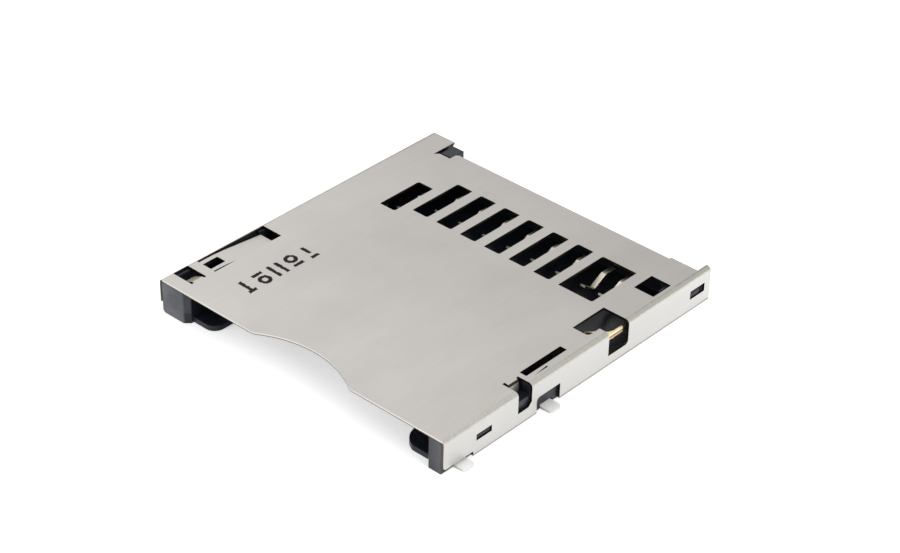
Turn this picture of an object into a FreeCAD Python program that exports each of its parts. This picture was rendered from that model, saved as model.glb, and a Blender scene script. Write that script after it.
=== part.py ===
import FreeCAD, Part
import math
import os
import Sketcher

# Reverse-type memory card socket with a push-push ejector, in millimetres.
# X runs across the socket, Y runs from the card mouth to the back, and Z is up.
# The board face is at Z 0, and the origin is under the middle of the cover.

SIZES = {
    # Memory card and the bay that it slides in
    "card_width": 24.0,
    "card_height": 2.1,
    "card_corner": 4.0,
    "card_side_gap": 0.1,
    "card_height_gap": 0.15,
    "card_stop_gap": 0.1,
    "ejector_side": 2.9,
    "switch_side": 1.7,
    "floor_thickness": 0.45,
    # Stamped steel cover
    "cover_length": 30.0,
    "sheet": 0.2,
    "fold_radius": 0.15,
    "cover_fit": 0.02,
    "wall_foot_gap": 0.02,
    "left_wall_foot": 0.9,
    "plate_setback": 1.3,
    "plate_step": 0.2,
    "plate_step_from_edge": 3.0,
    "fold_strip": 0.45,
    "arc_radius": 8.85,
    "arc_depth": 1.48,
    "arc_offset": 0.1,
    "arc_blend": 0.8,
    # Windows over the contacts
    "window_width": 1.55,
    "window_ahead": 3.2,
    "window_behind": 2.08,
    "window_corner": 0.12,
    "ninth_window_front_shift": 1.07,
    "ninth_window_back_shift": 1.9,
    "wide_window_edge": 0.76,
    "square_hole_width": 1.84,
    "square_hole_length": 2.12,
    "square_hole_from_edge": 2.5,
    "square_hole_from_back": 6.22,
    # Large window over the switches, which runs on down the side wall
    "switch_window_ahead": 1.97,
    "switch_window_tongue": 1.28,
    "switch_window_length": 3.58,
    "switch_window_from_edge": 2.45,
    "switch_window_strip": 0.95,
    "switch_window_drop": 2.03,
    # Slots and bent tabs
    "long_slot_front": 9.71,
    "long_slot_length": 4.46,
    "long_slot_from_edge": 1.6,
    "long_slot_width": 0.63,
    "slit_width": 0.14,
    "slit_gap": 0.22,
    "slit_length": 1.52,
    "tab_cut_front": 7.8,
    "tab_cut_length": 1.48,
    "tab_cut_drop": 1.84,
    "tab_root_from_edge": 1.37,
    "tab_drop": 1.0,
    "tab_bend": 0.3,
    "tab_gap": 0.05,
    "pin_cut_front": 1.13,
    "pin_cut_length": 1.47,
    "pin_cut_from_edge": 0.2,
    "pin_cut_width": 2.1,
    "pin_tab_run": 0.85,
    "pin_tab_drop": 0.36,
    "relief_width": 0.24,
    "relief_length": 0.2,
    # Leaf spring cut from the cover
    "leaf_front": 3.5,
    "leaf_flat": 1.3,
    "leaf_drop": 0.35,
    "leaf_width": 1.75,
    "leaf_slot_from_edge": 0.3,
    "leaf_slot_width": 0.24,
    "leaf_taper": 0.18,
    "leaf_end_gap": 0.65,
    "leaf_side_gap": 0.03,
    "leaf_slit_width": 0.12,
    "leaf_slit_length": 3.4,
    "leaf_setback": 0.55,
    "leaf_window_width": 0.9,
    "leaf_window_length": 1.5,
    "leaf_window_inset": 0.45,
    # Side wall openings
    "latch_front": 3.4,
    "latch_length": 1.6,
    "latch_foot": 1.18,
    "latch_height": 0.52,
    "rear_latch_from_back": 0.68,
    "rear_latch_length": 1.75,
    "rear_latch_foot": 1.07,
    "rear_latch_height": 0.74,
    "bump_gap": 0.08,
    "bump_stand": 0.12,
    "wall_step_length": 3.1,
    "wall_step_height": 0.4,
    "wall_corner": 0.35,
    "notch_ahead": 0.65,
    "notch_length": 2.55,
    "notch_height": 1.36,
    # Moulded housing
    "lead_in": 0.42,
    "right_lead_in": 0.33,
    "ledge_setback": 0.65,
    "ledge_width": 2.25,
    "right_ledge_width": 3.06,
    "ledge_corner": 0.9,
    "right_ledge_corner": 1.25,
    "right_ledge_taper": 1.75,
    "right_ledge_round": 1.8,
    "floor_ahead": 2.4,
    "floor_corner": 0.6,
    "left_arm_length": 3.3,
    "left_wall": 0.33,
    "rear_wall": 1.2,
    "rear_block": 0.95,
    "rear_block_setback": 0.15,
    "right_block_width": 0.98,
    "right_block_setback": 1.15,
    "boss_width": 1.1,
    "boss_length": 1.5,
    "boss_setback": 0.5,
    "boss_sink": 0.04,
    "boss_gap": 0.35,
    "arm_chamfer": 0.2,
    "pit_gap": 0.1,
    "pit_wall": 0.12,
    "pivot_pit_drop": 0.5,
    # Contacts
    "first_from_card_left": 4.83,
    "eighth_from_card_right": 2.5,
    "seventh_gap": 2.47,
    "eighth_gap": 1.75,
    "contact_width": 0.45,
    "contact_strip": 0.15,
    "contact_from_back": 6.7,
    "ninth_forward": 1.7,
    "contact_drop": 1.4,
    "crest_radius": 0.4,
    "crest_length": 0.4,
    "beam_drop": 0.75,
    "tip_rise": 0.83,
    "tip_run": 1.25,
    "slope_run": 1.33,
    "tail_bend": 0.25,
    "comb_gap": 0.03,
    "contact_wall_gap": 0.05,
    # Switch blades in the right arm
    "blade_strip": 0.15,
    "blade_drop": 1.2,
    "blade_height": 0.6,
    "blade_from_edge": 0.9,
    "blade_gap": 0.04,
    "blade_bump": 0.35,
    "blade_flat": 0.3,
    "blade_slope": 1.3,
    "blade_rise": 1.7,
    "blade_leg": 0.8,
    "blade_foot": 0.6,
    "blade_splay": 0.1,
    "fixed_from_edge": 0.45,
    "fixed_drop": 0.72,
    "fixed_height": 0.47,
    "pocket_length": 10.3,
    "pocket_setback": 2.6,
    "pocket_wall": 0.3,
    "pocket_wall_height": 0.85,
    "protect_root": 2.7,
    "protect_bump": 3.0,
    "protect_tip": 1.65,
    "protect_fixed_root": 1.7,
    "protect_fixed_reach": 5.2,
    "fixed_blade_gap": 0.8,
    "detect_root": 2.3,
    "detect_bump": 2.3,
    "detect_tip": 2.0,
    "detect_fixed_root": 1.3,
    # Solder legs
    "leg_strip": 0.2,
    "leg_width": 1.2,
    "leg_reach": 1.07,
    "leg_rise": 1.3,
    "leg_bend": 0.32,
    "leg_corner": 0.3,
    "leg_gap": 0.03,
    "leg_wall": 0.35,
    "front_leg": 1.25,
    "middle_leg_ahead": 4.1,
    # Slider of the ejector
    "travel": 6.3,
    "slider_gap": 0.05,
    "slider_front_gap": 0.15,
    "slider_tail": 1.45,
    "slider_top_gap": 0.1,
    "slider_step": 0.5,
    "deck_gap": 0.1,
    "deck_behind": 1.7,
    "wing_reach": 1.8,
    "wing_length": 3.4,
    "wing_corner": 0.5,
    "wing_arm": 0.4,
    "wing_top_gap": 0.3,
    # Follower rod and the heart-shaped track that it runs in
    "rod_wire": 0.4,
    "rod_pivot_front": 2.0,
    "rod_pivot_from_edge": 1.4,
    "rod_drop": 0.6,
    "rod_bend": 0.4,
    "rod_pivot_foot": 0.6,
    "rod_swing": 0.3,
    "bore_gap": 0.05,
    "rod_slot_gap": 0.12,
    "track_depth": 0.55,
    "track_foot_gap": 0.07,
    "track_gap": 0.08,
    "track_lead": 0.55,
    "track_return": 1.15,
    "heart_front": 0.8,
    "heart_notch": 0.35,
    # Ejector spring and its pegs
    "spring_diameter": 1.7,
    "spring_wire": 0.25,
    "spring_turns": 8.0,
    "peg_diameter": 0.95,
    "peg_length": 1.2,
}

os.makedirs("parts", exist_ok=True)
doc = FreeCAD.newDocument("card_socket")
size_sheet = doc.addObject("Spreadsheet::Sheet", "Sizes")
for row, (size_name, number) in enumerate(SIZES.items(), start=1):
    size_sheet.set(f"A{row}", size_name)
    size_sheet.set(f"B{row}", str(number))
    size_sheet.setAlias(f"B{row}", size_name)
doc.recompute()


class Size:
    """A number worked out from the sheet, kept with the expression that gives it."""

    def __init__(self, value, text):
        self.value = value
        self.text = text

    def __add__(self, other):
        other = as_size(other)
        return Size(self.value + other.value, f"({self.text} + {other.text})")

    def __sub__(self, other):
        other = as_size(other)
        return Size(self.value - other.value, f"({self.text} - {other.text})")

    def __mul__(self, other):
        other = as_size(other)
        return Size(self.value * other.value, f"({self.text} * {other.text})")

    def __truediv__(self, other):
        other = as_size(other)
        return Size(self.value / other.value, f"({self.text} / {other.text})")

    def __neg__(self):
        return Size(-self.value, f"(0 - {self.text})")


def as_size(number):
    return number if isinstance(number, Size) else Size(number, str(number))


def size(name):
    return Size(SIZES[name], f"Sizes.{name}")


def square_root(number):
    return Size(math.sqrt(number.value), f"sqrt({number.text})")


def bind(thing, place, number):
    thing.setExpression(place, as_size(number).text)


# Sketches: both coordinates of every corner are driven by the sheet

def arc_between(start, end, radius):
    """The short arc from start to end; a radius above zero turns to the left."""
    chord = end - start
    half = chord.Length / 2
    rise = math.sqrt(max(radius * radius - half * half, 0.0))
    left = FreeCAD.Vector(-chord.y, chord.x, 0).normalize()
    centre = start + chord / 2 + left * math.copysign(rise, radius)
    circle = Part.Circle(centre, FreeCAD.Vector(0, 0, 1), abs(radius))
    first, last = (start, end) if radius > 0 else (end, start)
    return Part.ArcOfCircle(circle, circle.parameter(first), circle.parameter(last))


class Drawing:
    """Edges and driven constraints, gathered first and given to the sketch together."""

    def __init__(self, sketch):
        self.sketch = sketch
        self.edges = []
        self.constraints = []
        self.driven = []

    def hold(self, number, *constraint):
        """Adds a constraint whose value follows the sheet."""
        number = as_size(number)
        self.driven.append((len(self.constraints), number))
        self.constraints.append(Sketcher.Constraint(*constraint, number.value))

    def hold_point(self, edge, position, corner):
        self.hold(corner[0], "DistanceX", edge, position)
        self.hold(corner[1], "DistanceY", edge, position)

    def run(self, corners, closed=True):
        """Straight runs and arcs. A corner is (x, y), or (x, y, radius) where an arc starts."""
        first = len(self.edges)
        runs = len(corners) if closed else len(corners) - 1
        places = [FreeCAD.Vector(as_size(c[0]).value, as_size(c[1]).value, 0) for c in corners]
        starts = []
        for index in range(runs):
            start = places[index]
            end = places[(index + 1) % len(corners)]
            radius = as_size(corners[index][2]) if len(corners[index]) == 3 else None
            if radius is None:
                self.edges.append(Part.LineSegment(start, end))
            else:
                self.edges.append(arc_between(start, end, radius.value))
                self.hold(radius if radius.value > 0 else -radius, "Radius", first + index)
            starts.append(2 if radius is not None and radius.value < 0 else 1)
            self.hold_point(first + index, starts[index], corners[index])
        for index in range(runs if closed else runs - 1):
            after = (index + 1) % runs
            self.constraints.append(Sketcher.Constraint(
                "Coincident", first + index, 3 - starts[index], first + after, starts[after]))
        if not closed:
            self.hold_point(first + runs - 1, 3 - starts[-1], corners[-1])

    def circle(self, across, up, radius):
        centre = FreeCAD.Vector(as_size(across).value, as_size(up).value, 0)
        self.edges.append(Part.Circle(centre, FreeCAD.Vector(0, 0, 1), radius.value))
        self.hold_point(len(self.edges) - 1, 3, (across, up))
        self.hold(radius, "Radius", len(self.edges) - 1)

    def finish(self):
        self.sketch.addGeometry(self.edges, False)
        self.sketch.addConstraint(self.constraints)
        for index, number in self.driven:
            bind(self.sketch, f"Constraints[{index}]", number)


def draw(sketch, *loops, closed=True):
    drawing = Drawing(sketch)
    for corners in loops:
        drawing.run(corners, closed)
    drawing.finish()


def draw_circle(sketch, across, up, radius):
    drawing = Drawing(sketch)
    drawing.circle(across, up, radius)
    drawing.finish()


def rectangle(left, near, right, far):
    return [(left, near), (right, near), (right, far), (left, far)]


# Bodies: material is added or cut from one place to a higher one along a plane's own axis

PLANE_ROLES = {"top": "XY_Plane", "front": "XZ_Plane", "side": "YZ_Plane"}


def new_body(name):
    body = doc.addObject("PartDesign::Body", name)
    body.Label = name
    return body


def new_sketch(body, plane, place):
    """A sketch across Z (top), across Y (front) or across X (side) at the place given."""
    sketch = body.newObject("Sketcher::SketchObject", f"{body.Name}_sketch")
    role = PLANE_ROLES[plane]
    origin_plane = next(item for item in body.Origin.OriginFeatures if item.Role == role)
    sketch.AttachmentSupport = (origin_plane, [""])
    sketch.MapMode = "FlatFace"
    place = as_size(place)
    # The front plane faces the card mouth, so its offset runs against Y.
    bind(sketch, "AttachmentOffset.Base.z", -place if plane == "front" else place)
    return sketch


def add_feature(body, kind, plane, start, end, loops):
    sketch = new_sketch(body, plane, start)
    draw(sketch, *loops)
    feature = body.newObject(f"PartDesign::{kind}", f"{body.Name}_{kind.lower()}")
    feature.Profile = sketch
    # A pad follows its sketch's normal and a pocket goes against it.
    feature.Reversed = (plane == "front") == (kind == "Pad")
    bind(feature, "Length", as_size(end) - start)
    body.Tip = feature
    return feature


def add(body, plane, start, end, *loops):
    return add_feature(body, "Pad", plane, start, end, loops)


def cut(body, plane, start, end, *loops):
    return add_feature(body, "Pocket", plane, start, end, loops)


def round_edges(body, radius, wanted):
    """Fillets those edges of the body so far that the test accepts."""
    doc.recompute()
    base = body.Tip
    names = [f"Edge{n}" for n, edge in enumerate(base.Shape.Edges, start=1) if wanted(edge)]
    fillet = body.newObject("PartDesign::Fillet", f"{body.Name}_fillet")
    fillet.Base = (base, names)
    bind(fillet, "Radius", radius)
    body.Tip = fillet


# Places that several pieces share

beyond = size("sheet") * 2
front = -size("cover_length") / 2
back = size("cover_length") / 2
bay_width = size("card_width") + size("card_side_gap") * 2
half_width = (bay_width + size("ejector_side") + size("switch_side")) / 2
bay_left = size("ejector_side") - half_width
bay_right = half_width - size("switch_side")
card_left = bay_left + size("card_side_gap")
card_right = bay_right - size("card_side_gap")
bay_floor = size("floor_thickness")
cover_under = bay_floor + size("card_height") + size("card_height_gap")
cover_top = cover_under + size("sheet")
housing_side = half_width - size("sheet") - size("cover_fit")
plate_back = back - size("plate_setback")
rear_wall_front = plate_back - size("rear_wall")
contact_row = back - size("contact_from_back")
channel_left = size("left_wall") - housing_side
channel_end = back - size("rear_block_setback") - size("rear_block")
channel_right = bay_left - size("wing_arm")
boss_right = channel_right + size("boss_gap") + size("boss_width")
boss_back = back - size("boss_setback")
right_block_back = back - size("right_block_setback")
pocket_far = rear_wall_front - size("pocket_setback")
pocket_near = pocket_far - size("pocket_length")
switch_window_near = pocket_near + size("switch_window_ahead")
middle_leg = pocket_near - size("middle_leg_ahead")
arm_back = front + size("left_arm_length")
slider_front = arm_back + size("slider_front_gap")
rod_radius = size("rod_wire") / 2
rod_height = cover_under - size("rod_drop")
rod_pivot_across = size("rod_pivot_from_edge") - half_width
rod_pivot_along = front + size("rod_pivot_front")
rod_tip_along = slider_front + size("track_lead") + size("travel")
rod_reach = rod_tip_along - rod_pivot_along
deck = rod_height - rod_radius - size("deck_gap")
wing_front = (rear_wall_front - size("card_stop_gap") - size("travel") - size("card_corner")
              - size("card_side_gap") - size("slider_gap"))
slider_back = wing_front + size("slider_tail")
square_hole_left = half_width - size("square_hole_from_edge")
square_hole_near = back - size("square_hole_from_back")
square_hole_far = square_hole_near + size("square_hole_length")
long_slot_near = front + size("long_slot_front")
long_slot_right = half_width - size("long_slot_from_edge") + size("long_slot_width")
spring_across = (channel_left + channel_right) / 2
spring_height = (bay_floor + cover_under) / 2
pitches = 5
first_contact = card_left + size("first_from_card_left")
eighth_contact = card_right - size("eighth_from_card_right")
seventh_contact = eighth_contact - size("eighth_gap")
contact_pitch = (seventh_contact - size("seventh_gap") - first_contact) / pitches


def contact_place(number):
    """Across the socket: contact 9, then 1 to 6 one pitch apart, then the closer 7 and 8."""
    if number == 9:
        return first_contact - contact_pitch
    if number <= 6:
        return first_contact + contact_pitch * (number - 1)
    return seventh_contact if number == 7 else eighth_contact


# Cover: one folded sheet, cut through its top plate and then through its walls

def make_cover():
    body = new_body("cover")
    inner = size("fold_radius")
    outer = inner + size("sheet")
    foot = size("wall_foot_gap")
    wall = half_width - size("sheet")
    fold = half_width - outer
    bend = cover_top - outer
    add(body, "front", front, back, [
        (half_width, foot),
        (half_width, bend, outer),
        (fold, cover_top),
        (-fold, cover_top, outer),
        (-half_width, bend),
        (-half_width, foot),
        (-wall, foot),
        (-wall, bend, -inner),
        (-fold, cover_under),
        (fold, cover_under, -inner),
        (wall, bend),
        (wall, foot),
    ])
    cut_plate_edges(body)
    cut_windows(body)
    cut_slots(body)
    cut_walls(body)
    add_leaf(body)
    add_tabs(body)
    return body


def cut_plate(body, *loops):
    return cut(body, "top", cover_under - beyond, cover_top + beyond, *loops)


def cut_plate_edges(body):
    """The finger arc in front, and the stepped back edge with its notch."""
    radius = size("arc_radius")
    blend = size("arc_blend")
    middle = (bay_left + bay_right) / 2 - size("arc_offset")
    both = radius + blend
    drop = both - size("arc_depth")
    chord = square_root(both * both - drop * drop)
    touch_across = chord * radius / both
    touch_along = front + size("arc_depth") - radius + drop * radius / both
    step = half_width - size("plate_step_from_edge")
    strip = half_width - size("fold_strip")
    notch_near = boss_back - size("boss_length") - size("boss_gap") / 2
    cut_plate(
        body,
        [
            (middle - chord, front - beyond),
            (middle + chord, front - beyond),
            (middle + chord, front, -size("arc_blend")),
            (middle + touch_across, touch_along, radius),
            (middle - touch_across, touch_along, -size("arc_blend")),
            (middle - chord, front),
        ],
        [
            (channel_right, back + beyond),
            (channel_right, notch_near - size("boss_gap")),
            (channel_right + size("boss_gap"), notch_near),
            (boss_right, notch_near),
            (boss_right, plate_back - size("plate_step")),
            (boss_right + size("plate_step"), plate_back),
            (step, plate_back),
            (step, plate_back + size("plate_step")),
            (strip, plate_back + size("plate_step")),
            (strip, back + beyond),
        ],
    )


def window_outline(left, right, near, far):
    """A window with its front right and back left corners cut off."""
    corner = size("window_corner")
    return [
        (left, near),
        (right - corner, near),
        (right, near + corner),
        (right, far),
        (left + corner, far),
        (left, far - corner),
    ]


def cut_windows(body):
    """One window over each contact; the last two share a wide one."""
    half = size("window_width") / 2
    near = contact_row - size("window_ahead")
    far = contact_row + size("window_behind")
    single = cut_plate(body, window_outline(first_contact - half, first_contact + half, near, far))
    window_row = body.newObject("PartDesign::LinearPattern", "cover_window_row")
    window_row.Originals = [single]
    window_row.Direction = (single.Profile[0], ["H_Axis"])
    window_row.Occurrences = pitches + 1
    bind(window_row, "Length", contact_pitch * pitches)
    body.Tip = window_row
    ninth = contact_place(9)
    ninth_near = near - size("ninth_window_front_shift")
    ninth_far = far - size("ninth_window_back_shift")
    wide_right = eighth_contact + size("wide_window_edge")
    cut_plate(
        body,
        window_outline(ninth - half, ninth + half, ninth_near, ninth_far),
        window_outline(seventh_contact - half, wide_right, near, far),
        rectangle(square_hole_left, square_hole_near,
                  square_hole_left + size("square_hole_width"), square_hole_far),
    )


def cut_slots(body):
    """The slots of the right strip, the switch window, and the cuts round tabs and leaf."""
    outside = half_width + beyond
    slot_left = long_slot_right - size("long_slot_width")
    slot_far = long_slot_near + size("long_slot_length")
    slit_left = long_slot_right + size("slit_gap")
    slit_right = slit_left + size("slit_width")
    slit_near = long_slot_near + size("slit_gap") * 2
    window_left = half_width - size("switch_window_from_edge")
    window_near = switch_window_near
    window_far = window_near + size("switch_window_length")
    tongue = window_near + size("switch_window_tongue")
    strip = half_width - size("switch_window_strip")
    corner = size("wall_corner")
    cut_plate(
        body,
        rectangle(slot_left, long_slot_near, long_slot_right, slot_far),
        [
            (slit_right, slit_near),
            (slit_right, slit_near + size("slit_length")),
            (slit_left, slit_near + size("slit_length")),
        ],
        [
            (window_left, window_near),
            (strip - corner, window_near, corner),
            (strip, window_near + corner),
            (strip, tongue),
            (outside, tongue),
            (outside, window_far),
            (window_left, window_far),
        ],
    )
    relief = size("relief_length")
    relief_width = size("relief_width")
    tab_root = half_width - size("tab_root_from_edge")
    tab_near = front + size("tab_cut_front")
    pin_left, pin_right, pin_near, pin_far = pin_cut_places()
    leaf_left, leaf_right, leaf_near, leaf_far = leaf_places()
    cut_plate(
        body,
        [
            (tab_root - relief, tab_near),
            (outside, tab_near),
            (outside, tab_near + size("tab_cut_length")),
            (tab_root, tab_near + size("tab_cut_length")),
            (tab_root, tab_near + relief_width),
            (tab_root - relief, tab_near + relief_width),
        ],
        [
            (pin_left, pin_near),
            (pin_right, pin_near),
            (pin_right, pin_near + relief_width),
            (pin_right - relief, pin_near + relief_width),
            (pin_right - relief, pin_far - relief_width),
            (pin_right, pin_far - relief_width),
            (pin_right, pin_far),
            (pin_left, pin_far),
        ],
        rectangle(leaf_left - size("leaf_slot_width"), leaf_near,
                  leaf_right + size("leaf_side_gap"), leaf_far + size("leaf_end_gap")),
    )


def pin_cut_places():
    """Left, right, front and back of the cut over the rod's pivot."""
    left = size("pin_cut_from_edge") - half_width
    near = front + size("pin_cut_front")
    return left, left + size("pin_cut_width"), near, near + size("pin_cut_length")


def leaf_places():
    """Left and right edges, root and free end of the leaf, which ends short of the rod's tip."""
    left = size("leaf_slot_from_edge") + size("leaf_slot_width") - half_width
    far = rod_tip_along - size("leaf_setback")
    return left, left + size("leaf_width"), front + size("leaf_front"), far


def latch_holes():
    near = front + size("latch_front")
    foot = size("latch_foot")
    rear = back - size("rear_latch_from_back") - size("rear_latch_length")
    rear_foot = size("rear_latch_foot")
    return [
        (near, foot, near + size("latch_length"), foot + size("latch_height")),
        (rear, rear_foot, rear + size("rear_latch_length"), rear_foot + size("rear_latch_height")),
    ]


def cut_walls(body):
    """Latch holes in both walls; the leg notch, front step and two openings on the right."""
    low = half_width - size("sheet") * 2
    high = half_width + beyond
    below = size("wall_foot_gap") - beyond
    fold = cover_top - size("fold_radius") - size("sheet")
    corner = size("wall_corner")
    step_far = front + size("wall_step_length")
    step = size("wall_step_height")
    notch_near = middle_leg - size("notch_ahead")
    notch_far = notch_near + size("notch_length")
    notch_top = size("notch_height")
    window_near = switch_window_near + size("switch_window_tongue")
    window_far = switch_window_near + size("switch_window_length")
    window_foot = cover_top - size("switch_window_drop")
    tab_near = front + size("tab_cut_front")
    tab_far = tab_near + size("tab_cut_length")
    tab_foot = cover_top - size("tab_cut_drop")
    holes = [rectangle(*places) for places in latch_holes()]
    openings = [
        [
            (front - beyond, below),
            (step_far, below),
            (step_far, step),
            (front + corner, step, -corner),
            (front, step + corner),
            (front - beyond, step + corner),
        ],
        [
            (notch_near, below),
            (notch_far, below),
            (notch_far, notch_top),
            (notch_near + corner, notch_top, corner),
            (notch_near, notch_top - corner),
        ],
        [
            (window_near, window_foot),
            (window_far - corner, window_foot, corner),
            (window_far, window_foot + corner),
            (window_far, fold),
            (window_near, fold),
        ],
        [
            (tab_near, tab_foot),
            (tab_far - corner, tab_foot),
            (tab_far, tab_foot + corner),
            (tab_far, fold),
            (tab_near, fold),
        ],
    ]
    cut(body, "side", low, high, *holes)
    for outline in openings:
        cut(body, "side", low, high, outline)
    cut(body, "side", -high, -low, *holes,
        rectangle(front - beyond, below, back + beyond, size("left_wall_foot")))


def add_leaf(body):
    """The leaf runs back from its root and bends down to press on the follower rod."""
    left, right, near, far = leaf_places()
    bend = near + size("leaf_flat")
    drop = size("leaf_drop")
    add(body, "side", left, right, [
        (near - beyond, cover_under),
        (bend, cover_under),
        (far, cover_under - drop),
        (far, cover_top - drop),
        (bend, cover_top),
        (near - beyond, cover_top),
    ])
    window_right = right - size("leaf_window_inset")
    outside = left - size("leaf_slot_width")
    slit_left = right - size("leaf_slit_width")
    slit_corner = size("leaf_slit_width") / 3
    slit_right = right + size("leaf_side_gap")
    cut_plate(
        body,
        [
            (outside, near),
            (left - size("leaf_slot_width") / 2, near),
            (left + size("leaf_taper"), far + beyond),
            (outside, far + beyond),
        ],
        [
            (slit_left, near),
            (slit_left + slit_corner, near - slit_corner),
            (slit_right - slit_corner, near - slit_corner),
            (slit_right, near),
            (slit_right, near + size("leaf_slit_length")),
            (right, near + size("leaf_slit_length")),
        ],
        rectangle(window_right - size("leaf_window_width"), near,
                  window_right, near + size("leaf_window_length")),
    )


def add_tabs(body):
    """A tab bent down from the plate at the right cut, and one that slants down over the pivot."""
    sheet = size("sheet")
    outer = size("tab_bend")
    inner = outer - sheet
    relief = size("relief_width")
    root = half_width - size("tab_root_from_edge")
    near = front + size("tab_cut_front") + relief
    far = front + size("tab_cut_front") + size("tab_cut_length") - relief
    tip = cover_top - size("tab_drop")
    add(body, "front", near, far, [
        (root - sheet, cover_under),
        (root, cover_under, -inner),
        (root + inner, cover_under - inner),
        (root + inner, tip),
        (root + outer, tip),
        (root + outer, cover_top - outer, outer),
        (root, cover_top),
        (root - sheet, cover_top),
    ])
    pin_left, pin_right, pin_near, pin_far = pin_cut_places()
    pin_root = pin_right - size("relief_length")
    pin_end = pin_root - size("pin_tab_run")
    pin_drop = size("pin_tab_drop")
    add(body, "front", pin_near + relief, pin_far - relief, [
        (pin_root + sheet, cover_under),
        (pin_root, cover_under),
        (pin_end, cover_under - pin_drop),
        (pin_end, cover_top - pin_drop),
        (pin_root, cover_top),
        (pin_root + sheet, cover_top),
    ])


# Housing: one moulding with a floor, two arms and a comb for the contacts

def make_housing():
    body = new_body("housing")
    ledge = front + size("ledge_setback")
    left_inner = bay_left + size("ledge_width")
    right_inner = bay_right - size("right_ledge_width")
    floor = contact_row - size("floor_ahead")
    corner = size("ledge_corner")
    bay = size("floor_corner")
    left_mouth = [
        (-housing_side, front),
        (bay_left - size("lead_in"), front),
        (bay_left, front + size("lead_in")),
    ]
    right_mouth = [
        (bay_right, front + size("right_lead_in")),
        (bay_right + size("right_lead_in"), front),
        (housing_side, front),
    ]
    add(body, "top", 0, bay_floor, left_mouth + [
        (bay_left, ledge),
        (left_inner - corner, ledge, corner),
        (left_inner, ledge + corner),
        (left_inner, floor - bay, -bay),
        (left_inner + bay, floor),
        (right_inner - bay, floor, -bay),
        (right_inner, floor - bay),
        (right_inner, ledge + size("right_ledge_taper"), size("right_ledge_round")),
        (right_inner + size("right_ledge_corner"), ledge),
        (bay_right, ledge),
    ] + right_mouth + back_outline())
    add(body, "top", bay_floor, cover_under, left_mouth + [
        (bay_left, arm_back),
        (channel_left, arm_back),
        (channel_left, channel_end),
        (channel_right, channel_end),
        (channel_right, rear_wall_front),
        (bay_right, rear_wall_front),
    ] + right_mouth + back_outline())
    add(body, "top", cover_under, cover_top - size("boss_sink"), rectangle(
        boss_right - size("boss_width"), boss_back - size("boss_length"), boss_right, boss_back))
    chamfer = size("arm_chamfer")
    cut(body, "front", front - beyond, arm_back, [
        (-housing_side - beyond, -beyond),
        (chamfer - housing_side, -beyond),
        (chamfer - housing_side, 0),
        (-housing_side, chamfer),
        (-housing_side - beyond, chamfer),
    ])
    relief = size("fold_radius")
    top = cover_under
    cut(body, "front", front - beyond, back + beyond, *[
        [
            ((housing_side + beyond) * sense, top - relief),
            (housing_side * sense, top - relief),
            ((housing_side - relief) * sense, top),
            ((housing_side - relief) * sense, top + beyond),
            ((housing_side + beyond) * sense, top + beyond),
        ] for sense in (1, -1)])
    cut_contact_comb(body)
    cut_switch_pocket(body)
    cut_leg_slots(body)
    cut_rod_seat(body)
    cut_cover_clearances(body)
    cut_open_pits(body)
    add_latch_bumps(body)
    add_peg(body, channel_end - size("peg_length"), channel_end + size("sheet"))
    return body


def back_outline():
    """The back edge of the housing, from its right side round to its left."""
    block_left = housing_side - size("right_block_width")
    left_block_back = back - size("rear_block_setback")
    boss_left = boss_right - size("boss_width")
    gap_end = channel_end + size("sheet")
    return [
        (housing_side, right_block_back),
        (block_left, right_block_back),
        (block_left, plate_back),
        (boss_right, plate_back),
        (boss_right, boss_back),
        (boss_left, boss_back),
        (boss_left, gap_end),
        (channel_right, gap_end),
        (channel_right, left_block_back),
        (-housing_side, left_block_back),
    ]


def cut_contact_comb(body):
    """One slot through the rear wall for each contact."""
    half = size("contact_width") / 2 + size("comb_gap")
    near = rear_wall_front - beyond
    far = plate_back + beyond
    slots = [
        rectangle(contact_place(n) - half, near, contact_place(n) + half, far) for n in range(1, 10)]
    cut(body, "top", cover_under - size("beam_drop") - size("comb_gap"), cover_under + beyond, *slots)


def blade_places():
    """Where each switch blade is held: its inner face, its leg and the root's two ends."""
    moving = half_width - size("blade_from_edge")
    fixed = half_width - size("fixed_from_edge")
    leg = size("blade_leg")
    protect = pocket_near - size("protect_root")
    protect_fixed = pocket_near - size("protect_fixed_root")
    detect = pocket_far + size("detect_root")
    detect_fixed = pocket_far + size("detect_fixed_root")
    return {
        "write_protect_spring": (moving, protect, pocket_near, protect),
        "write_protect_contact": (fixed, protect_fixed, pocket_near, protect_fixed),
        "card_detect_spring": (moving, pocket_far, detect, detect - leg),
        "card_detect_contact": (fixed, pocket_far, detect_fixed, detect_fixed - leg),
    }


def cut_switch_pocket(body):
    """The right arm is open for the switch blades, and its outer wall is low beside them."""
    wall = housing_side - size("pocket_wall")
    cut(body, "top", bay_floor, cover_under + beyond,
        rectangle(bay_right - beyond, pocket_near, wall, pocket_far))
    cut(body, "top", size("pocket_wall_height"), cover_under + beyond,
        rectangle(wall - beyond, pocket_near, housing_side + beyond, pocket_far))
    gap = size("blade_gap")
    strip = size("blade_strip")
    root_slots = []
    leg_slots = []
    foot_slots = []
    for face, near, far, leg_near in blade_places().values():
        leg_far = leg_near + size("blade_leg") + gap
        root_slots.append(rectangle(face - gap, near - gap, face + strip + gap, far + gap))
        leg_slots.append(rectangle(face - gap, leg_near - gap, face + strip + gap, leg_far))
        foot_slots.append(rectangle(
            face - size("blade_foot") - gap, leg_near - gap, face + strip + gap, leg_far))
    cut(body, "top", cover_under - size("blade_drop") - gap, cover_under + beyond, *root_slots)
    cut(body, "top", -beyond, cover_under, *leg_slots)
    cut(body, "top", -beyond, strip + gap, *foot_slots)


def leg_places():
    return {"front": front + size("front_leg"), "middle": middle_leg}


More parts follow.
